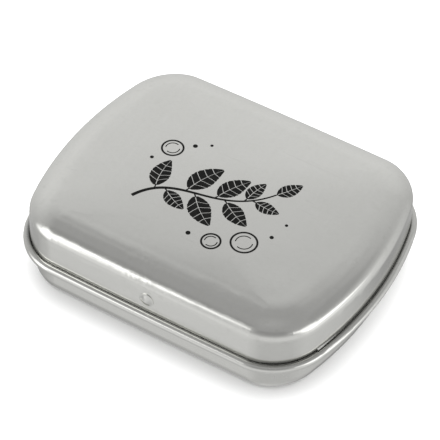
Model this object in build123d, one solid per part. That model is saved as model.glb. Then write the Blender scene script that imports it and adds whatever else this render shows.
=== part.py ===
from build123d import *
import math
import os

os.makedirs("parts", exist_ok=True)

# Small hinged sweet tin drawn from thin tinplate, in millimetres.
# Origin: middle of the underside. +Z up, front at -Y, hinge at +Y, +X to the right.

# ---- driving dimensions ----------------------------------------------------
HALF_LENGTH = 29.5            # lid wall, half of the long way (X)
SHEET = 0.25                  # tinplate thickness

# plan outline of the lid wall: a quarter of the closed chain of tangent arcs, from the
# middle of the short side (+X) to the middle of the long side (+Y)
ARC_RADII = [62.47, 11.06, 9.95, 7.27]        # short side, then three corner arcs
ARC_ENDS = [14.51, 39.41, 67.81, 89.15]       # outward normal angle where each arc ends

BASE_HEIGHT = 8.1             # underside to the gap line between base and lid
BASE_WALL_IN = 0.70           # base wall and neck, inside the lid wall's outer face
BASE_FOOT_R = 2.8             # rounded edge round the underside
FLOOR_BAND = 5.0              # swept band of the floor, the rest is a flat plate
NECK_HEIGHT = 4.8             # neck above the gap line
HEM_DEPTH = 0.9               # neck edge folded inwards
HEM_T = 0.55

BEAD_HALF_W = 0.788           # rolled bead round the base, an oval a little wider than high
BEAD_HALF_H = 0.691
BEAD_CORNER_R = 0.73
BEAD_TURNS = (62.0, 28.0)     # normal angles where the corner arc meets the top and the side
BEAD_OUT = 0.288              # bead centre outside the lid wall
BEAD_DOWN = 0.875             # bead centre below the gap line
BEAD_SLIT = 0.10              # open fold behind the bead
WEB_HALF = 0.30

LID_WALL = 5.0                # straight part of the lid wall
LID_DRAFT = 0.15              # lean of the wall over that height
LID_DROP = 0.06               # lower edge of the wall below the gap line
LID_CURL_IN = 0.15            # wall drawn in by this much at the gap line
LID_CURL_UP = 1.45            # over this height
REAR_TRIM = 0.22              # rear wall trimmed above the gap line, clear of the neck as it swings
LID_EDGE_IN = 4.7             # rounded top edge: half an oval, this far in
LID_EDGE_UP = 2.3             # and this far up
LID_CROWN = 0.8               # crown of the top, over and above the rounded edge
LID_RING = 5.5                # inside this band the outline relaxes into an oval

DIMPLE_Z = 2.65               # snap dimple above the gap line
DIMPLE_HALF = 1.35            # half its width over the hollow foot
DIMPLE_FOOT = 1.10             # radius of the foot
DIMPLE_OUT = 0.34             # how far it stands out
CATCH_HALF = 0.85              # matching bump on the neck
CATCH_FOOT = 0.3
CATCH_OUT = 0.15

HINGE_X = 11.0                # hinge centres, either side of the middle
HINGE_OUT = 0.25              # hinge line outside the lid's rear wall
HINGE_UP = 0.65               # hinge line above the gap line
PIN_R = 0.40
PIN_HALF = 4.22
CURL_R = 0.67                 # outside of a hinge curl
BASE_BORE_R = 0.42
LID_BORE_R = 0.45
LID_CURL_HALF = 2.0
SIDE_GAP = 0.12
BASE_CURL_W = 2.0
LEAF_OUT = 0.83               # outer face of the base's hinge tab, behind the hinge line
WINDOW_TOP = 0.38             # lid wall trimmed to here above the hinge line at its own curl
NOTCH_TOP = 0.75              # and to here over the base's curls: its edge is the opening stop
NOTCH_GAP = 0.28

# ---- the outline -----------------------------------------------------------


def quarter_arcs(radii):
    """(centre x, centre y, radius, start angle, end angle) of the arcs in the first quadrant."""
    turns = [0.0] + ARC_ENDS + [90.0]
    x = sum(r * (math.cos(math.radians(s)) - math.cos(math.radians(e)))
            for r, s, e in zip(radii, turns, turns[1:]))
    y = 0.0
    arcs = []
    for radius, start, end in zip(radii, turns, turns[1:]):
        s, e = math.radians(start), math.radians(end)
        cx, cy = x - radius * math.cos(s), y - radius * math.sin(s)
        arcs.append((cx, cy, radius, start, end))
        x, y = cx + radius * math.cos(e), cy + radius * math.sin(e)
    return arcs


def all_arcs(radii):
    q = quarter_arcs(radii)
    short, corner, long_ = q[0], q[1:4], q[4]
    arcs = [(short[0], 0.0, short[2], -short[4], short[4])]
    arcs += corner
    arcs.append((0.0, long_[1], long_[2], long_[3], 180.0 - long_[3]))
    arcs += [(-cx, cy, r, 180.0 - e, 180.0 - s) for cx, cy, r, s, e in reversed(corner)]
    arcs.append((-short[0], 0.0, short[2], 180.0 - short[4], 180.0 + short[4]))
    arcs += [(-cx, -cy, r, 180.0 + s, 180.0 + e) for cx, cy, r, s, e in corner]
    arcs.append((0.0, -long_[1], long_[2], 180.0 + long_[3], 360.0 - long_[3]))
    arcs += [(cx, -cy, r, 360.0 - e, 360.0 - s) for cx, cy, r, s, e in reversed(corner)]
    return arcs


# the long side's radius closes the chain on the middle
LONG_R = (HALF_LENGTH - sum(r * (math.cos(math.radians(s)) - math.cos(math.radians(e)))
                            for r, s, e in zip(ARC_RADII, [0.0] + ARC_ENDS, ARC_ENDS))) / math.cos(math.radians(ARC_ENDS[-1]))
RADII = ARC_RADII + [LONG_R]
ARCS = all_arcs(RADII)
HALF_WIDTH = quarter_arcs(RADII)[4][1] + LONG_R


def on_arc(arc, offset, angle):
    cx, cy, r, _, _ = arc
    a = math.radians(angle)
    return (cx + (r + offset) * math.cos(a), cy + (r + offset) * math.sin(a))


def ring(radii, z):
    """Closed line of tangent arcs at one height."""
    edges = []
    for arc in all_arcs(radii):
        p = [on_arc(arc, 0.0, a) for a in (arc[3], (arc[3] + arc[4]) / 2, arc[4])]
        edges.append(ThreePointArc(*[(u, v, z) for u, v in p]))
    return Wire(edges)


def outline(offset, z=0.0):
    """Flat face inside the outline moved outwards by offset."""
    return make_face(ring([r + offset for r in RADII], z))


def sweep_round(profile):
    """Carry a profile (x = outwards from the lid wall, y = height) round the whole outline."""
    pieces = []
    for arc in ARCS:
        cx, cy, r, start, end = arc
        a = math.radians(start)
        n = Vector(math.cos(a), math.sin(a), 0)
        plane = Plane(origin=(cx + r * n.X, cy + r * n.Y, 0), x_dir=n, z_dir=n.cross(Vector(0, 0, 1)))
        face = plane * profile
        pieces.append(revolve(face, Axis((cx, cy, 0), (0, 0, 1)), end - start))
    return pieces


def bead(shrink):
    """Section of the bead, its surface moved inwards by shrink."""
    t1, t2 = (math.radians(a) for a in BEAD_TURNS)
    c1, s1, c2, s2, rc = math.cos(t1), math.sin(t1), math.cos(t2), math.sin(t2), BEAD_CORNER_R
    # radii of the top arc and the side arc that close the quarter on its half width and half height
    a, b = BEAD_HALF_W - rc * (c2 - c1), BEAD_HALF_H - rc * (s1 - s2)
    det = c1 * s2 - (1 - c2) * (1 - s1)
    top_r, side_r = (a * s2 - (1 - c2) * b) / det, (c1 * b - (1 - s1) * a) / det
    cz = BEAD_HALF_H - top_r
    kx, kz = (top_r - rc) * c1, cz + (top_r - rc) * s1
    cx = BEAD_HALF_W - side_r
    quarter = [(0.0, cz, top_r, math.pi / 2, t1), (kx, kz, rc, t1, t2), (cx, 0.0, side_r, t2, 0.0)]
    edges = []
    for sx, sz in ((1, 1), (1, -1), (-1, -1), (-1, 1)):
        for x, z, r, start, end in quarter:
            p = [(BEAD_OUT + sx * (x + (r - shrink) * math.cos(t)), Z_BEAD + sz * (z + (r - shrink) * math.sin(t)))
                 for t in (start, (start + end) / 2, end)]
            edges.append(ThreePointArc(*p))
    return make_face(edges)


def box(x0, x1, y0, y1, z0, z1):
    return Pos((x0 + x1) / 2, (y0 + y1) / 2, (z0 + z1) / 2) * Box(x1 - x0, y1 - y0, z1 - z0)


def rect(x0, x1, y0, y1):
    return Pos((x0 + x1) / 2, (y0 + y1) / 2) * Rectangle(x1 - x0, y1 - y0)


def bar_x(radius, x0, x1, y, z):
    return Pos((x0 + x1) / 2, y, z) * Rot(0, 90, 0) * Cylinder(radius, x1 - x0)


def bump(y_face, z, half_width, out, foot_r, inset, depth):
    """Bump standing out of a front wall: a body turned about its own axis, with a round top and a
    hollow foot that runs out into the wall. With inset it is the inner side of the same sheet."""
    top_r = (half_width ** 2 + (foot_r - out) ** 2 - foot_r ** 2) / (2 * out)
    lean = math.atan2(half_width, foot_r - (out - top_r))
    r_in, f_in = top_r - inset, foot_r + inset

    def on_top(a):
        return (r_in * math.sin(a), out - top_r + r_in * math.cos(a))

    def on_foot(a):
        return (half_width + f_in * math.cos(a), foot_r + f_in * math.sin(a))

    join = math.atan2(out - top_r + top_r * math.cos(lean) - foot_r, top_r * math.sin(lean) - half_width)
    if join > 0:
        join -= 2 * math.pi
    middle = (join - math.pi / 2) / 2
    low = -depth
    face = make_face([
        ThreePointArc(on_top(0), on_top(lean / 2), on_top(lean)),
        ThreePointArc(on_top(lean), on_foot(middle), on_foot(-math.pi / 2)),
        Line(on_foot(-math.pi / 2), (half_width, low)),
        Line((half_width, low), (0, low)),
        Line((0, low), on_top(0)),
    ])
    plane = Plane(origin=(0, y_face, z), x_dir=(1, 0, 0), z_dir=(0, 0, -1))
    return revolve(plane * face, Axis((0, y_face, z), (0, 1, 0)), 360)


Z_GAP = BASE_HEIGHT
Z_BEAD = Z_GAP - BEAD_DOWN
Z_NECK = Z_GAP + NECK_HEIGHT
HINGE_Y = on_arc(ARCS[4], 0.0, 90.0)[1] - (HALF_WIDTH - math.sqrt(ARCS[4][2] ** 2 - HINGE_X ** 2) - ARCS[4][1]) + HINGE_OUT
HINGE_Z = Z_GAP + HINGE_UP

# ---- base tray -------------------------------------------------------------
w0 = -BASE_WALL_IN
w1 = w0 - SHEET
foot = BASE_FOOT_R
half_slit = BEAD_SLIT / 2

profile = rect(w1, w0, foot, Z_NECK - HEM_T / 2)
corner_ring = Pos(w0 - foot, foot) * (Circle(foot) - Circle(foot - SHEET))
profile += corner_ring & rect(w0 - foot, w0 + 0.01, -0.01, foot)
profile += rect(-FLOOR_BAND, w0 - foot, 0, SHEET)
profile += rect(w0 - HEM_T, w0, Z_NECK - HEM_DEPTH, Z_NECK - HEM_T / 2)
profile += Pos(w0 - HEM_T / 2, Z_NECK - HEM_T / 2) * Circle(HEM_T / 2)
profile += rect(w1, BEAD_OUT - BEAD_HALF_W + 0.16, Z_BEAD - WEB_HALF, Z_BEAD + WEB_HALF)
profile += bead(0.0)
profile -= bead(SHEET)
profile -= rect(w1 - 0.1, BEAD_OUT, Z_BEAD - half_slit, Z_BEAD + half_slit)
bends = [v for v in profile.vertices()
         if abs(v.X - w0) < 1e-4 and abs(abs(v.Y - Z_BEAD) - WEB_HALF) < 1e-4]
if bends:
    profile = fillet(bends, 0.08)

tray_parts = sweep_round(profile)
floor_plate = extrude(outline(-FLOOR_BAND), SHEET)
tray = tray_parts[0].fuse(*tray_parts[1:], floor_plate)

# catch bump on the neck, under the lid's dimple
front = -HALF_WIDTH
neck_face = front + BASE_WALL_IN + 0.004
tray = tray + bump(neck_face, Z_GAP + DIMPLE_Z, CATCH_HALF, CATCH_OUT, CATCH_FOOT, 0.0, 0.1)
tray = tray - bump(neck_face, Z_GAP + DIMPLE_Z, CATCH_HALF, CATCH_OUT, CATCH_FOOT, SHEET, SHEET + 0.06)

# hinge tabs: up from the bead and curled over the pin
tab = Pos(0, 0) * (rect(-LEAF_OUT, -0.50, -1.45, -0.04))
tab_corner = [v for v in tab.vertices() if v.Y > -0.1 and v.X < -0.6]
tab = fillet(tab_corner, 0.16)
tab_profile = tab + Circle(CURL_R) - Circle(BASE_BORE_R)
lo, hi = LID_CURL_HALF + SIDE_GAP, LID_CURL_HALF + SIDE_GAP + BASE_CURL_W
for centre in (-HINGE_X, HINGE_X):
    for x0 in (centre - hi, centre + lo):
        # profile x runs forwards from the hinge line, profile y runs up
        plane = Plane(origin=(x0, HINGE_Y, HINGE_Z), x_dir=(0, -1, 0), z_dir=(-1, 0, 0))
        curl = extrude(plane * tab_profile, -BASE_CURL_W)
        tray = tray + curl

# ---- lid -------------------------------------------------------------------


def oval_radii(half_length, half_width):
    """Arc radii that stand for an oval of these half axes."""
    radii = []
    turns = [0.0] + ARC_ENDS + [90.0]
    for start, end in zip(turns, turns[1:]):
        steps = [math.radians(start + (end - start) * (i + 0.5) / 40) for i in range(40)]
        radii.append(sum((half_length * half_width) ** 2
                         / ((half_length * math.cos(a)) ** 2 + (half_width * math.sin(a)) ** 2) ** 1.5
                         for a in steps) / 40)
    return radii


def lid_rings(sheet):
    """(arc radii, height) of the lid's level lines, from its lower edge to the crown, moved
    inwards by sheet along the surface's normal."""
    mean = (HALF_LENGTH + HALF_WIDTH) / 2

    def crown(level):
        return LID_CROWN * (1 - level ** 2)

    rings = []
    wall = (0.04, 0.08, 0.12, 0.17, 0.22, 0.27, 0.34, 0.45, 0.6, 0.8, 0.92)
    for part in ((-0.2, -0.1, -0.05, 0.0) if sheet else (-LID_DROP / LID_WALL,)) + wall:
        curl = LID_CURL_IN * max(0.0, 1 - part * LID_WALL / LID_CURL_UP) ** 2
        inset = LID_DRAFT * part + curl
        rings.append(([r - inset - sheet for r in RADII], LID_WALL * part + crown((mean - inset) / mean)))
    for step in range(0, 91, 6):
        t = math.radians(step)
        inset = LID_DRAFT + LID_EDGE_IN * (1 - math.cos(t))
        side, rise = math.cos(t) / LID_EDGE_IN, math.sin(t) / LID_EDGE_UP
        length = math.hypot(side, rise)
        moved = inset + sheet * side / length
        height = LID_WALL + LID_EDGE_UP * math.sin(t) - sheet * rise / length + crown((mean - inset) / mean)
        rings.append(([r - moved for r in RADII], height))
    flat = LID_WALL + LID_EDGE_UP - sheet
    for inset in (5.1, LID_RING):
        rings.append(([r - inset for r in RADII], flat + crown((mean - inset) / mean)))
    inner = [r - LID_RING for r in RADII]
    oval = oval_radii(HALF_LENGTH - LID_RING, HALF_WIDTH - LID_RING)
    for k in (0.94, 0.87, 0.79, 0.7, 0.6, 0.5, 0.4, 0.3, 0.2, 0.1, 0.04):
        radii = [k * (k * a + (1 - k) * b) for a, b in zip(inner, oval)]
        rings.append((radii, flat + crown(k * (mean - LID_RING) / mean)))
    return rings


def pillow(sheet):
    """Lid block, its heights counted from the gap line."""
    return loft([make_face(ring(radii, Z_GAP + z)) for radii, z in lid_rings(sheet)])


outer = pillow(0.0)
inner = pillow(SHEET)
print("lid blocks", round(outer.volume, 2), round(inner.volume, 2), outer.bounding_box(), outer.is_valid, inner.is_valid)
lid_face = front + 0.004
lid = outer + bump(lid_face, Z_GAP + DIMPLE_Z, DIMPLE_HALF, DIMPLE_OUT, DIMPLE_FOOT, 0.0, 0.12)
lid = lid - inner
lid = lid - bump(lid_face, Z_GAP + DIMPLE_Z, DIMPLE_HALF, DIMPLE_OUT, DIMPLE_FOOT, SHEET, SHEET + 0.08)

# rear wall trimmed, then hinge windows, curls and their bores
lid = lid - box(-40, 40, HALF_WIDTH - 1.3, HALF_WIDTH + 1.0, Z_GAP - 2, Z_GAP + REAR_TRIM)
for centre in (-HINGE_X, HINGE_X):
    w = LID_CURL_HALF + SIDE_GAP + BASE_CURL_W + NOTCH_GAP
    y0, y1 = HALF_WIDTH - 1.5, HALF_WIDTH + 2.0
    lid = lid - box(centre - w, centre + w, y0, y1, Z_GAP - 2, HINGE_Z + WINDOW_TOP)
    for s in (-1, 1):
        a, b = sorted((centre + s * LID_CURL_HALF, centre + s * w))
        lid = lid - box(a, b, y0, y1, Z_GAP - 2, HINGE_Z + NOTCH_TOP)
    lid = lid + bar_x(CURL_R, centre - LID_CURL_HALF, centre + LID_CURL_HALF, HINGE_Y, HINGE_Z)
    lid = lid - bar_x(LID_BORE_R, centre - LID_CURL_HALF - 0.5, centre + LID_CURL_HALF + 0.5, HINGE_Y, HINGE_Z)

# ---- hinge pins ------------------------------------------------------------
pins = {}
for name, centre in (("hinge_pin_left", -HINGE_X), ("hinge_pin_right", HINGE_X)):
    pin = bar_x(PIN_R, centre - PIN_HALF, centre + PIN_HALF, HINGE_Y, HINGE_Z)
    pins[name] = fillet(pin.edges().filter_by(GeomType.CIRCLE), 0.12)

# ---- write one file for each piece -----------------------------------------
pieces = {"base_tray": tray, "lid": lid, **pins}
for name, shape in pieces.items():
    solids = shape.solids()
    print(name, "solids", len(solids), "volume", round(shape.volume, 2), "box", shape.bounding_box())
    export_step(solids[0] if len(solids) == 1 else shape, f"parts/{name}.step")
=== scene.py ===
import math

import bpy
import numpy as np
from mathutils import Matrix, Vector
from mathutils.bvhtree import BVHTree


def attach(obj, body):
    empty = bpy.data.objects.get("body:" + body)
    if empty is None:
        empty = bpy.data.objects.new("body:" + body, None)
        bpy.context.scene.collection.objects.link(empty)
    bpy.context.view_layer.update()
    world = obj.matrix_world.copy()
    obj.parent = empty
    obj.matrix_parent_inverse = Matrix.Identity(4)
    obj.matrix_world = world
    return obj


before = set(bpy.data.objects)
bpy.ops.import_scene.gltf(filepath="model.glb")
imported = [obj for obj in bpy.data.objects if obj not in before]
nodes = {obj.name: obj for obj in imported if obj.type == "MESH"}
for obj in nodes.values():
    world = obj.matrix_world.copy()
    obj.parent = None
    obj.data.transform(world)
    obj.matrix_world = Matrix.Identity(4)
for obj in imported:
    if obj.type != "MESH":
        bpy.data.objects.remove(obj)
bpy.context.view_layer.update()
scene = bpy.context.scene

# ---------------------------------------------------------------- colour management
scene.view_settings.view_transform = "Standard"
scene.view_settings.look = "None"
scene.view_settings.exposure = 0.0
scene.view_settings.gamma = 1.0

# ---------------------------------------------------------------- camera
HALF = 0.0295                       # half length of the lid wall, metres
GAP_Z = 0.0081                      # lower edge of the lid above the underside
AZ, EL, ROLL = math.radians(29.725), math.radians(46.456), math.radians(2.246)
back = Vector((math.sin(AZ) * math.cos(EL), -math.cos(AZ) * math.cos(EL), math.sin(EL)))
right = Vector((math.cos(AZ), math.sin(AZ), 0.0))
up = back.cross(right)
right2 = math.cos(ROLL) * right + math.sin(ROLL) * up
up2 = -math.sin(ROLL) * right + math.cos(ROLL) * up
eye = HALF * (back * 12.2075 + right2 * -0.0089 + up2 * 0.0146) + Vector((0, 0, GAP_Z))
cam_data = bpy.data.cameras.new("camera")
cam_data.sensor_width = 36.0
cam_data.lens = 2141.12 / 440.0 * 36.0
cam_data.clip_start, cam_data.clip_end = 0.01, 20.0
cam = bpy.data.objects.new("camera", cam_data)
scene.collection.objects.link(cam)
turn = Matrix((right2, up2, back)).transposed().to_4x4()
cam.matrix_world = Matrix.Translation(eye) @ turn
scene.camera = cam


# ---------------------------------------------------------------- node helpers
class Tree:
    def __init__(self, tree):
        self.t = tree
        tree.nodes.clear()

    def new(self, kind, values=None, **props):
        n = self.t.nodes.new(kind)
        for k, v in props.items():
            setattr(n, k, v)
        for k, v in (values or {}).items():
            n.inputs[k].default_value = v
        return n

    def link(self, a, b):
        self.t.links.new(a, b)

    def math(self, op, a, b=None, c=None, clamp=False):
        n = self.new("ShaderNodeMath", operation=op, use_clamp=clamp)
        for i, v in enumerate((a, b, c)):
            if v is None:
                continue
            if isinstance(v, (int, float)):
                n.inputs[i].default_value = v
            else:
                self.link(v, n.inputs[i])
        return n.outputs[0]

    def ramp(self, fac, stops, mode="LINEAR"):
        n = self.new("ShaderNodeValToRGB")
        n.color_ramp.interpolation = mode
        els = n.color_ramp.elements
        while len(els) > 1:
            els.remove(els[-1])
        els[0].position = stops[0][0]
        els[0].color = tuple(stops[0][1]) + (1.0,) if len(stops[0][1]) == 3 else stops[0][1]
        for pos, col in stops[1:]:
            e = els.new(pos)
            e.color = tuple(col) + (1.0,) if len(col) == 3 else col
        self.link(fac, n.inputs[0])
        return n.outputs[0]

    def place(self, vector, scale, turn=0.0):
        n = self.new("ShaderNodeMapping")
        n.inputs["Scale"].default_value = scale
        n.inputs["Rotation"].default_value = (0.0, 0.0, math.radians(turn))
        self.link(vector, n.inputs["Vector"])
        return n.outputs[0]

    def noise(self, vector, scale, detail=2.0, rough=0.5):
        n = self.new("ShaderNodeTexNoise", {"Scale": scale, "Detail": detail, "Roughness": rough})
        self.link(vector, n.inputs["Vector"])
        return n.outputs[0]

    def smooth(self, x, lo, hi):
        n = self.new("ShaderNodeMapRange", interpolation_type="SMOOTHSTEP", clamp=True)
        self.link(x, n.inputs[0])
        n.inputs[1].default_value, n.inputs[2].default_value = lo, hi
        n.inputs[3].default_value, n.inputs[4].default_value = 0.0, 1.0
        return n.outputs[0]


# ---------------------------------------------------------------- studio light
# Directions are in degrees: azimuth from +Y (behind the object) towards +X, elevation above the
# floor. Values are the light that the tinplate gives back, so the world is divided by its colour.
TIN_VALUE = 0.78
#       elevation, light
ROOM = [(-90, 0.34), (-60, 0.20), (-40, 0.33), (-20, 0.355), (0, 0.335), (15, 0.345), (30, 0.355),
        (40, 0.33), (50, 0.322), (60, 0.30), (70, 0.292), (90, 0.34)]
# back and front wall: share, azimuth, half width, softness, top, fade above it
WALLS = [(0.24, -36, 9, 77, 38, 23), (0.20, 127, 71, 37, 14, 22)]
# soft panels: share, azimuth from, softness, to, softness, elevation from, softness, to, softness, slant
PANELS = [(0.84, -151, 9, -124, 18, 17, 24, 42, 10, -0.14),
          (0.70, 72, 9, 96, 17, 19, 12, 37, 11, 0.64)]
# broad soft patches: share, azimuth, half, softness, elevation, half, softness
PATCHES = [(0.18, -134, 15, 10, 0, 7, 14), (0.21, 77, 9, 20, 2, 4, 15), (0.19, -146, 3, 5, 49, 3, 6),
           (-0.07, 152, 27, 22, 50, 4, 12), (0.13, -130, 8, 30, -55, 10, 22), (-0.07, 140, 27, 30, -36, 10, 16),
           (0.06, -33, 6, 8, 51.1, 0.9, 2.5), (-0.055, -27, 5, 9, 55.2, 1.2, 3.4), (0.055, -57, 3, 9, 59, 2, 5),
           (0.045, -2, 5, 10, 53, 1, 3.5), (-0.045, 47, 10, 12, 47, 5, 8), (-0.045, -130, 14, 14, 57, 4, 6),
           (0.06, -154, 5, 12, -6, 8, 14), (-0.10, -30, 40, 30, -40, 15, 15)]
FILL_SIZE, FILL_POWER, FILL_AT = 1.56, 21.3, (0.0, 0.12, 0.93)


def studio():
    """A pale studio: light walls in front and behind, a greyer ceiling, and two large soft panels,
    one at the front left and one at the right."""
    world = bpy.data.worlds.new("studio")
    scene.world = world
    world.use_nodes = True
    t = Tree(world.node_tree)
    out = t.new("ShaderNodeOutputWorld")
    bg = t.new("ShaderNodeBackground")
    coord = t.new("ShaderNodeTexCoord")
    sep = t.new("ShaderNodeSeparateXYZ")
    t.link(coord.outputs["Generated"], sep.inputs[0])
    x, y, z = sep.outputs
    elev = t.math("MULTIPLY", t.math("ARCSINE", z), 180 / math.pi)
    azim = t.math("MULTIPLY", t.math("ARCTAN2", x, y), 180 / math.pi)

    def turn_from(az0):
        return t.math("WRAP", t.math("SUBTRACT", azim, az0), 180.0, -180.0)

    def window(v, half, soft):
        """1 while |v| is under half, then falling to 0 over soft degrees."""
        return t.math("SUBTRACT", 1.0, t.smooth(t.math("ABSOLUTE", v), half, half + soft))

    def between(v, lo, soft_lo, hi, soft_hi):
        return t.math("MULTIPLY", t.smooth(v, lo - soft_lo, lo), t.math("SUBTRACT", 1.0, t.smooth(v, hi, hi + soft_hi)))

    total = t.ramp(t.math("DIVIDE", t.math("ADD", elev, 90.0), 180.0), [((e + 90) / 180, (v, v, v)) for e, v in ROOM])
    for share, az0, half, soft, top, fade in WALLS:
        w = t.math("MULTIPLY", window(turn_from(az0), half, soft), t.math("SUBTRACT", 1.0, t.smooth(elev, top, top + fade)))
        total = t.math("ADD", total, t.math("MULTIPLY", w, share))
    for share, a0, s0, a1, s1, e0, t0, e1, t1, slant in PANELS:
        turn_az = t.math("SUBTRACT", turn_from((a0 + a1) / 2), t.math("MULTIPLY", t.math("SUBTRACT", elev, 32.0), slant))
        w = t.math("MULTIPLY", between(turn_az, (a0 - a1) / 2, s0, (a1 - a0) / 2, s1), between(elev, e0, t0, e1, t1))
        total = t.math("ADD", total, t.math("MULTIPLY", w, share))
    for share, az0, half_az, soft_az, el0, half_el, soft_el in PATCHES:
        w = t.math("MULTIPLY", window(turn_from(az0), half_az, soft_az), window(t.math("SUBTRACT", elev, el0), half_el, soft_el))
        total = t.math("ADD", total, t.math("MULTIPLY", w, share))
    t.link(total, bg.inputs["Color"])
    bg.inputs["Strength"].default_value = 1.0 / TIN_VALUE
    t.link(bg.outputs[0], out.inputs[0])

    # soft overhead fill for the floor, kept out of reflections
    fill = bpy.data.lights.new("fill", "AREA")
    fill.shape = "SQUARE"
    fill.size = FILL_SIZE
    fill.energy = FILL_POWER
    ob = bpy.data.objects.new("fill", fill)
    ob.matrix_world = Matrix.Translation(FILL_AT) @ Vector(FILL_AT).to_track_quat("Z", "Y").to_matrix().to_4x4()
    ob.visible_glossy = False
    ob.visible_camera = False
    scene.collection.objects.link(ob)


studio()

# ---------------------------------------------------------------- floor and backdrop
STAGE_R = 1.1


def turned(name, profile, steps=96):
    """Mesh of revolution about Z from (radius, height) points, the first of them on the axis or not."""
    verts, faces = [], []
    rings = []
    for r, z in profile:
        if r == 0.0:
            rings.append([len(verts)] * steps)
            verts.append((0.0, 0.0, z))
        else:
            rings.append(list(range(len(verts), len(verts) + steps)))
            verts += [(r * math.cos(2 * math.pi * k / steps), r * math.sin(2 * math.pi * k / steps), z) for k in range(steps)]
    for low, high in zip(rings, rings[1:]):
        for k in range(steps):
            face = [low[k], high[k], high[(k + 1) % steps], low[(k + 1) % steps]]
            faces.append(list(dict.fromkeys(face)))
    me = bpy.data.meshes.new(name)
    me.from_pydata(verts, [], faces)
    me.polygons.foreach_set("use_smooth", [True] * len(me.polygons))
    ob = bpy.data.objects.new(name, me)
    scene.collection.objects.link(ob)
    return ob


floor = turned("floor", [(0.0, 0.0), (0.05, 0.0), (0.2, 0.0), (0.6, 0.0), (STAGE_R, 0.0)])
floor.visible_glossy = False
mat = bpy.data.materials.new("floor")
mat.use_nodes = True
t = Tree(mat.node_tree)
out = t.new("ShaderNodeOutputMaterial")
b = t.new("ShaderNodeBsdfPrincipled", {"Base Color": (0.93, 0.93, 0.93, 1), "Roughness": 0.6, "Specular IOR Level": 0.0,
                                       "Emission Color": (1, 1, 1, 1)})
where = t.new("ShaderNodeTexCoord").outputs["Object"]
far = t.new("ShaderNodeVectorMath", operation="LENGTH")
t.link(where, far.inputs[0])
t.link(t.math("MULTIPLY", t.smooth(far.outputs["Value"], 0.10, 0.55), 0.8), b.inputs["Emission Strength"])
t.link(b.outputs[0], out.inputs[0])
floor.data.materials.append(mat)

# pale backdrop, seen only by the camera, so that it neither lights nor mirrors in the tin
cove = [(STAGE_R - 0.3 + 0.3 * math.sin(math.radians(a)), 0.3 - 0.3 * math.cos(math.radians(a))) for a in range(0, 91, 10)]
backdrop = turned("backdrop", cove + [(STAGE_R, 0.8), (STAGE_R, 1.6), (0.8, 2.0), (0.0, 2.2)])
for kind in ("diffuse", "glossy", "transmission", "volume_scatter", "shadow"):
    setattr(backdrop, "visible_" + kind, False)
mat = bpy.data.materials.new("backdrop")
mat.use_nodes = True
t = Tree(mat.node_tree)
out = t.new("ShaderNodeOutputMaterial")
glow = t.new("ShaderNodeEmission", {"Color": (1, 1, 1, 1), "Strength": 1.0})
t.link(glow.outputs[0], out.inputs[0])
backdrop.data.materials.append(mat)


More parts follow.
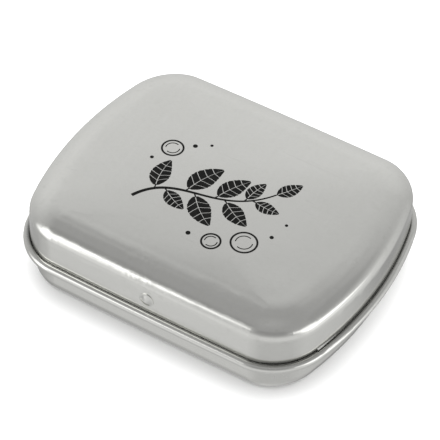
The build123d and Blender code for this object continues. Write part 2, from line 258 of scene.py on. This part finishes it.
# ---------------------------------------------------------------- tinplate
def tinplate(name, colour, rough, wave=1.0, wear=(0.0, 0.0), snap=None, seam=None):
    """Bright drawn tinplate: rolled grain, crystals of the tin coat, rubbed hairlines, a slightly
    wavy sheet, and a rim between two heights (wear, metres) that handling has polished and nicked.
    Along the seam between lid and bead the sheet is rougher and its colour carries painted shade,
    most at the two ends: "edge" along the lid's lower edge, "bead" on the bead's inner shoulder."""
    m = bpy.data.materials.new(name)
    m.use_nodes = True
    t = Tree(m.node_tree)
    out = t.new("ShaderNodeOutputMaterial")
    b = t.new("ShaderNodeBsdfPrincipled", {"Metallic": 1.0, "Specular Tint": (0.9, 0.9, 0.9, 1.0)})
    t.link(b.outputs[0], out.inputs[0])
    at = t.new("ShaderNodeTexCoord").outputs["Object"]
    cloud = t.noise(at, 55.0, 3.0)                                       # uneven polish, 2 cm
    blotch = t.noise(at, 190.0, 3.0, 0.55)                               # handling marks, 5 mm
    grain = t.noise(t.place(at, (1100.0, 70.0, 1100.0)), 1.0, 4.0, 0.6)  # rolling direction along Y
    crystal = t.new("ShaderNodeTexVoronoi", {"Scale": 2600.0})
    t.link(at, crystal.inputs["Vector"])
    crystals = t.new("ShaderNodeSeparateColor")
    t.link(crystal.outputs["Color"], crystals.inputs[0])
    spangle = crystals.outputs[0]
    lines = None
    for turn, along, across, edge in ((24.0, 45.0, 3300.0, 0.70), (-57.0, 60.0, 4200.0, 0.715), (81.0, 38.0, 2600.0, 0.725)):
        hair = t.smooth(t.noise(t.place(at, (along, across, across), turn), 1.0, 1.0), edge, edge + 0.03)
        lines = hair if lines is None else t.math("MAXIMUM", lines, hair)
    lines = t.math("MULTIPLY", lines, t.smooth(blotch, 0.42, 0.62))      # rubbed in patches
    height = t.new("ShaderNodeSeparateXYZ")
    t.link(at, height.inputs[0])
    z = height.outputs[2]
    if wear[1] > wear[0]:
        band = 0.0012
        rim = t.math("MULTIPLY", t.smooth(z, wear[0] - band, wear[0]), t.math("SUBTRACT", 1.0, t.smooth(z, wear[1], wear[1] + band)))
    else:
        rim = None
    rub = t.noise(at, 800.0, 2.0)

    r = t.math("ADD", rough - 0.03, t.math("MULTIPLY", cloud, 0.06))
    r = t.math("ADD", r, t.math("MULTIPLY", t.math("SUBTRACT", blotch, 0.5), 0.04))
    r = t.math("ADD", r, t.math("MULTIPLY", lines, 0.10))
    if rim:
        r = t.math("SUBTRACT", r, t.math("MULTIPLY", rim, 0.02))
        r = t.math("ADD", r, t.math("MULTIPLY", t.math("MULTIPLY", rim, t.smooth(rub, 0.56, 0.68)), 0.06))
    seam_rough_and_shade = None
    if seam:
        side = t.new("ShaderNodeVectorMath", operation="MULTIPLY")
        side.inputs[1].default_value = (1.0, 1.0, 0.0)
        t.link(at, side.inputs[0])
        outward = t.new("ShaderNodeVectorMath", operation="NORMALIZE")
        t.link(side.outputs[0], outward.inputs[0])
        along = height.outputs[0]
        # the painted seam shade is strongest at the two short ends of the tin
        ends = t.math("ADD", t.smooth(t.math("MULTIPLY", along, -1.0), 0.019, 0.027),
                      t.math("MULTIPLY", t.smooth(along, 0.016, 0.024), 0.8 if seam == "edge" else 0.42))
        # edge: painted shade on the lid's lower 0.8 mm, darkest at the gap above the bead
        if seam == "edge":
            seam_rough_and_shade = t.math("SUBTRACT", 1.0, t.smooth(z, 0.0081, 0.0089))
            seam_rough_and_shade = t.math("MULTIPLY", t.math("MULTIPLY", seam_rough_and_shade, ends), 0.66)
        else:
            # bead: painted shade on the bead's inner shoulder under the lid's edge, where the slot is in shade
            lean = t.new("ShaderNodeVectorMath", operation="DOT_PRODUCT")
            t.link(t.new("ShaderNodeTexCoord").outputs["Normal"], lean.inputs[0])
            t.link(outward.outputs[0], lean.inputs[1])
            seam_rough_and_shade = t.math("SUBTRACT", 1.0, t.smooth(lean.outputs["Value"], -0.55, 0.9))
            seam_rough_and_shade = t.math("MULTIPLY", seam_rough_and_shade, t.smooth(z, 0.0070, 0.0076))
            seam_rough_and_shade = t.math("MULTIPLY", seam_rough_and_shade, t.math("SUBTRACT", 1.0, t.smooth(z, 0.0084, 0.0090)))
            seam_rough_and_shade = t.math("MULTIPLY", t.math("MULTIPLY", seam_rough_and_shade, ends), 0.96)
        r = t.math("ADD", r, t.math("MULTIPLY", seam_rough_and_shade, 0.22))
    t.link(r, b.inputs["Roughness"])

    tone = t.math("ADD", t.math("MULTIPLY", grain, 0.30), t.math("MULTIPLY", cloud, 0.25))
    tone = t.math("ADD", tone, t.math("MULTIPLY", blotch, 0.30))
    tone = t.math("ADD", tone, t.math("MULTIPLY", spangle, 0.15))
    tone = t.math("SUBTRACT", tone, t.math("MULTIPLY", lines, 0.12))
    if rim:
        tone = t.math("SUBTRACT", tone, t.math("MULTIPLY", t.math("MULTIPLY", rim, t.smooth(rub, 0.60, 0.70)), 0.25))
    c = t.new("ShaderNodeMix", data_type="RGBA")
    c.inputs[6].default_value = tuple(v * f for v, f in zip(colour, (0.965, 0.965, 0.955))) + (1,)
    c.inputs[7].default_value = tuple(min(1, v * f) for v, f in zip(colour, (1.08, 1.08, 1.085))) + (1,)
    t.link(tone, c.inputs[0])
    # painted shade: the base colour is mixed towards near-black along the seam, where the gap lies in shade
    if seam_rough_and_shade:
        painted_shade_mix = t.new("ShaderNodeMix", data_type="RGBA")
        painted_shade_mix.inputs[7].default_value = (0.035, 0.035, 0.034, 1)
        t.link(seam_rough_and_shade, painted_shade_mix.inputs[0])
        t.link(c.outputs[2], painted_shade_mix.inputs[6])
        c = painted_shade_mix
    t.link(c.outputs[2], b.inputs["Base Color"])

    low = t.new("ShaderNodeBump", {"Strength": 1.0, "Distance": 0.00006 * wave})
    t.link(t.noise(t.place(at, (62.0, 85.0, 62.0), 20.0), 1.0, 1.0), low.inputs["Height"])
    if snap:
        # slight puckers drawn into the sheet round the pressed snap dimple
        near = t.new("ShaderNodeVectorMath", operation="DISTANCE")
        near.inputs[1].default_value = snap
        t.link(at, near.inputs[0])
        fade = t.math("SUBTRACT", 1.0, t.smooth(near.outputs["Value"], 0.0015, 0.0045))
        pucker = t.math("MULTIPLY", t.noise(at, 620.0, 2.0, 0.5), fade)
        draw = t.new("ShaderNodeBump", {"Strength": 1.0, "Distance": 0.00005})
        t.link(pucker, draw.inputs["Height"])
        t.link(low.outputs[0], draw.inputs["Normal"])
        low = draw
    fine = t.new("ShaderNodeBump", {"Strength": 0.25, "Distance": 0.000004})
    t.link(t.math("SUBTRACT", grain, t.math("MULTIPLY", lines, 0.8)), fine.inputs["Height"])
    t.link(low.outputs[0], fine.inputs["Normal"])
    t.link(fine.outputs[0], b.inputs["Normal"])
    return m


TIN = (TIN_VALUE, TIN_VALUE, TIN_VALUE * 0.965)
mats = {
    "lid": tinplate("tinplate_lid", TIN, 0.15, 1.0, (0.0128, 0.0150), (-0.0022, -0.0220, 0.0148), "edge"),
    "base_tray": tinplate("tinplate_base", TIN, 0.17, 0.8, (0.0064, 0.0080), seam="bead"),
    "hinge_pin_left": tinplate("pin_wire", (0.5, 0.5, 0.48), 0.24, 0.2, (0.0081, 0.0094)),
}
mats["hinge_pin_right"] = mats["hinge_pin_left"]
for name, node in nodes.items():
    node.data.materials.clear()
    node.data.materials.append(mats[name])

# ---------------------------------------------------------------- print on the lid
# A plain sprig of mint with round tablets, in black ink. Drawn flat in millimetres about PRINT_AT,
# then dropped onto the lid as a thin closed layer.
PRINT_AT = (-0.6, -1.8)
INK_UP, INK_DOWN = 0.012e-3, 0.006e-3


class Ink:
    """Closed patches of ink: each is a grid of plan points, given a top, a bottom and edges."""

    def __init__(self, carrier):
        me = carrier.data
        self.tree = BVHTree.FromPolygons([v.co.copy() for v in me.vertices], [tuple(p.vertices) for p in me.polygons])
        self.verts, self.faces = [], []

    def height(self, x, y):
        hit = self.tree.ray_cast(Vector((x, y, 0.05)), Vector((0, 0, -1)))[0]
        return hit.z

    def grid(self, rows, closed=False):
        """rows of (x, y) points in millimetres; closed joins the last row to the first."""
        n, m = len(rows), len(rows[0])
        base = len(self.verts)
        top, low = [], []
        for row in rows:
            for x, y in row:
                px, py = (x + PRINT_AT[0]) * 1e-3, (y + PRINT_AT[1]) * 1e-3
                z = self.height(px, py)
                top.append((px, py, z + INK_UP))
                low.append((px, py, z - INK_DOWN))
        self.verts += top + low
        k = n * m

        def at(i, j, side):
            return base + side * k + (i % n) * m + j

        # outward order depends on which way round the grid runs
        (ax, ay), (bx, by), (cx, cy) = rows[0][0], rows[1][0], rows[0][1]
        flip = (bx - ax) * (cy - ay) - (by - ay) * (cx - ax) < 0

        def face(*f):
            self.faces.append(f[::-1] if flip else f)

        for i in range(n if closed else n - 1):
            for j in range(m - 1):
                face(at(i, j, 0), at(i + 1, j, 0), at(i + 1, j + 1, 0), at(i, j + 1, 0))
                face(at(i, j, 1), at(i, j + 1, 1), at(i + 1, j + 1, 1), at(i + 1, j, 1))
            face(at(i, 0, 0), at(i, 0, 1), at(i + 1, 0, 1), at(i + 1, 0, 0))
            face(at(i, m - 1, 0), at(i + 1, m - 1, 0), at(i + 1, m - 1, 1), at(i, m - 1, 1))
        if not closed:
            for j in range(m - 1):
                face(at(0, j, 0), at(0, j + 1, 0), at(0, j + 1, 1), at(0, j, 1))
                face(at(n - 1, j, 0), at(n - 1, j, 1), at(n - 1, j + 1, 1), at(n - 1, j + 1, 0))

    def stroke(self, line, width):
        """Ribbon along a line; width(s) in millimetres for s from 0 to 1."""
        rows = []
        for i, (x, y) in enumerate(line):
            (x0, y0), (x1, y1) = line[max(i - 1, 0)], line[min(i + 1, len(line) - 1)]
            d = math.hypot(x1 - x0, y1 - y0)
            nx, ny = -(y1 - y0) / d, (x1 - x0) / d
            w = width(i / (len(line) - 1)) / 2
            rows.append([(x + nx * w * k, y + ny * w * k) for k in (-1, 0, 1)])
        self.grid(rows)

    def ring(self, cx, cy, inner, outer, steps=56, cut=()):
        """Ring, or a disc when inner is 0; cut lists (from, to) degrees left out."""
        inner = max(inner, 0.006)
        spans = []
        if cut:
            edges = sorted(cut)
            for (a0, a1), (b0, b1) in zip(edges, edges[1:] + [(edges[0][0] + 360, 0)]):
                spans.append((a1, b0))
        else:
            spans.append((0, 360))
        for start, end in spans:
            closed = not cut
            count = steps if closed else max(6, int(steps * (end - start) / 360))
            rows = []
            for k in range(count if closed else count + 1):
                a = math.radians(start + (end - start) * k / count)
                rows.append([(cx + r * math.cos(a), cy + r * math.sin(a)) for r in np.linspace(inner, outer, 3)])
            self.grid(rows, closed=closed)

    def leaf(self, x, y, turn, length, width, bend=0.0, veins=5):
        """Mint leaf from its stalk end: toothed edge, open midrib and open side veins."""
        a0 = math.radians(turn)
        spine = []
        px, py, steps = x, y, 60
        for i in range(steps + 1):
            spine.append((px, py))
            a = a0 + math.radians(bend) * (i / steps - 0.3)
            px, py = px + length / steps * math.cos(a), py + length / steps * math.sin(a)

        def on_spine(s):
            f = min(max(s, 0.0), 1.0) * steps
            i = min(int(f), steps - 1)
            (ax, ay), (bx, by) = spine[i], spine[i + 1]
            return ax + (bx - ax) * (f - i), ay + (by - ay) * (f - i), math.atan2(by - ay, bx - ax)

        def half(s):
            blade = math.sin(math.pi * s ** 0.78) ** 0.85 if 0 < s < 1 else 0.0
            tooth = abs(((s * 2 * veins) % 1.0) - 0.35)
            return width / 2 * blade * (1.0 - 0.10 * tooth) + 0.012

        def rib(s):
            return 0.075 * (1.0 - 0.7 * s)

        lean = 0.16
        for side in (-1, 1):
            for k in range(veins):
                lo, hi = k / veins, (k + 1) / veins
                gap = 0.055 / length
                s_in0, s_in1 = lo * 0.93 + (0.0 if k == 0 else gap), hi * 0.93 - gap
                if k == veins - 1:
                    s_in1 = 0.975
                rows = []
                for i in range(9):
                    u = i / 8
                    row = []
                    for j in range(5):
                        v = j / 4
                        s0 = s_in0 + (lean * v * (1 - lo) if k else 0.0)
                        s1 = s_in1 + (lean * v * (1 - hi) if k < veins - 1 else 0.0)
                        s = max(0.02, min(0.985, s0 + (s1 - s0) * u))
                        r = rib(s)
                        off = (r + v * max(half(s) - r, 0.012)) * side
                        cx, cy, a = on_spine(s)
                        row.append((cx - off * math.sin(a), cy + off * math.cos(a)))
                    rows.append(row)
                self.grid(rows)


def bezier(p0, p1, p2, p3, steps):
    out = []
    for i in range(steps + 1):
        s = i / steps
        k = [(1 - s) ** 3, 3 * s * (1 - s) ** 2, 3 * s * s * (1 - s), s ** 3]
        out.append(tuple(sum(w * p[a] for w, p in zip(k, (p0, p1, p2, p3))) for a in (0, 1)))
    return out


def sprig(ink):
    line = bezier((-11.4, -7.4), (-7.6, 1.6), (2.6, -4.6), (8.6, 5.2), 64)
    ink.stroke(line, lambda s: 0.62 - 0.34 * s)

    def on_line(s):
        i = min(int(s * 64), 63)
        (x0, y0), (x1, y1) = line[i], line[i + 1]
        f = s * 64 - i
        return x0 + (x1 - x0) * f, y0 + (y1 - y0) * f, math.degrees(math.atan2(y1 - y0, x1 - x0))

    #        place on the stem, side, angle off it, length, width, bend
    leaves = [(0.16, 1, 62, 6.6, 3.5, -26), (0.24, -1, 58, 5.2, 2.8, 22),
              (0.40, 1, 58, 7.6, 4.1, -24), (0.47, -1, 56, 7.2, 3.9, 24),
              (0.62, 1, 52, 6.7, 3.6, -20), (0.69, -1, 52, 6.3, 3.4, 20),
              (0.82, 1, 46, 4.9, 2.6, -16), (0.87, -1, 46, 4.6, 2.5, 16),
              (1.00, 1, 0, 5.0, 2.7, 8)]
    for s, side, off, length, width, bend in leaves:
        x, y, a = on_line(s)
        turn = a + side * off
        stalk = 0.7 if off else 0.4
        tip = (x + stalk * math.cos(math.radians(turn)), y + stalk * math.sin(math.radians(turn)))
        root = (x - 0.1 * math.cos(math.radians(turn)), y - 0.1 * math.sin(math.radians(turn)))
        ink.stroke([(root[0] + (tip[0] - root[0]) * q, root[1] + (tip[1] - root[1]) * q) for q in (0.0, 0.45, 0.9, 1.4)],
                   lambda q: 0.30 - 0.10 * q)
        ink.leaf(tip[0], tip[1], turn, length, width, bend)

    # round tablets, seen from above, and loose sugar grains
    for cx, cy, r in ((9.7, -6.6, 2.35), (5.0, -9.2, 1.75), (-11.6, 5.6, 2.0)):
        ink.ring(cx, cy, r - 0.34, r)
        ink.ring(cx, cy, r * 0.60 - 0.09, r * 0.60 + 0.09, cut=((20, 70), (200, 250)))
    for cx, cy, r in ((0.9, -9.6, 0.42), (12.9, -3.2, 0.36), (-8.6, 8.0, 0.42), (-13.4, 1.9, 0.34), (13.6, 0.4, 0.28), (-6.3, 9.6, 0.28)):
        ink.ring(cx, cy, 0.0, r, steps=28)


ink = Ink(nodes["lid"])
sprig(ink)
me = bpy.data.meshes.new("lid_print")
me.from_pydata(ink.verts, [], ink.faces)
me.validate()
lid_print = bpy.data.objects.new("lid_print", me)
scene.collection.objects.link(lid_print)
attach(lid_print, "lid")

m = bpy.data.materials.new("black_ink")
m.use_nodes = True
t = Tree(m.node_tree)
out = t.new("ShaderNodeOutputMaterial")
b = t.new("ShaderNodeBsdfPrincipled", {"Specular IOR Level": 0.12})
t.link(b.outputs[0], out.inputs[0])
at = t.new("ShaderNodeTexCoord").outputs["Object"]
body = t.noise(at, 900.0, 3.0, 0.55)
speck = t.smooth(t.noise(at, 5200.0, 1.0), 0.66, 0.74)
tone = t.math("ADD", t.math("MULTIPLY", t.smooth(body, 0.35, 0.7), 0.6), t.math("MULTIPLY", speck, 0.4))
c = t.new("ShaderNodeMix", data_type="RGBA")
c.inputs[6].default_value = (0.0028, 0.0028, 0.0026, 1)
c.inputs[7].default_value = (0.0070, 0.0070, 0.0064, 1)
t.link(tone, c.inputs[0])
t.link(c.outputs[2], b.inputs["Base Color"])
t.link(t.math("ADD", 0.42, t.math("MULTIPLY", body, 0.2)), b.inputs["Roughness"])
film = t.new("ShaderNodeBump", {"Strength": 0.3, "Distance": 0.000004})
t.link(body, film.inputs["Height"])
t.link(film.outputs[0], b.inputs["Normal"])
me.materials.append(m)
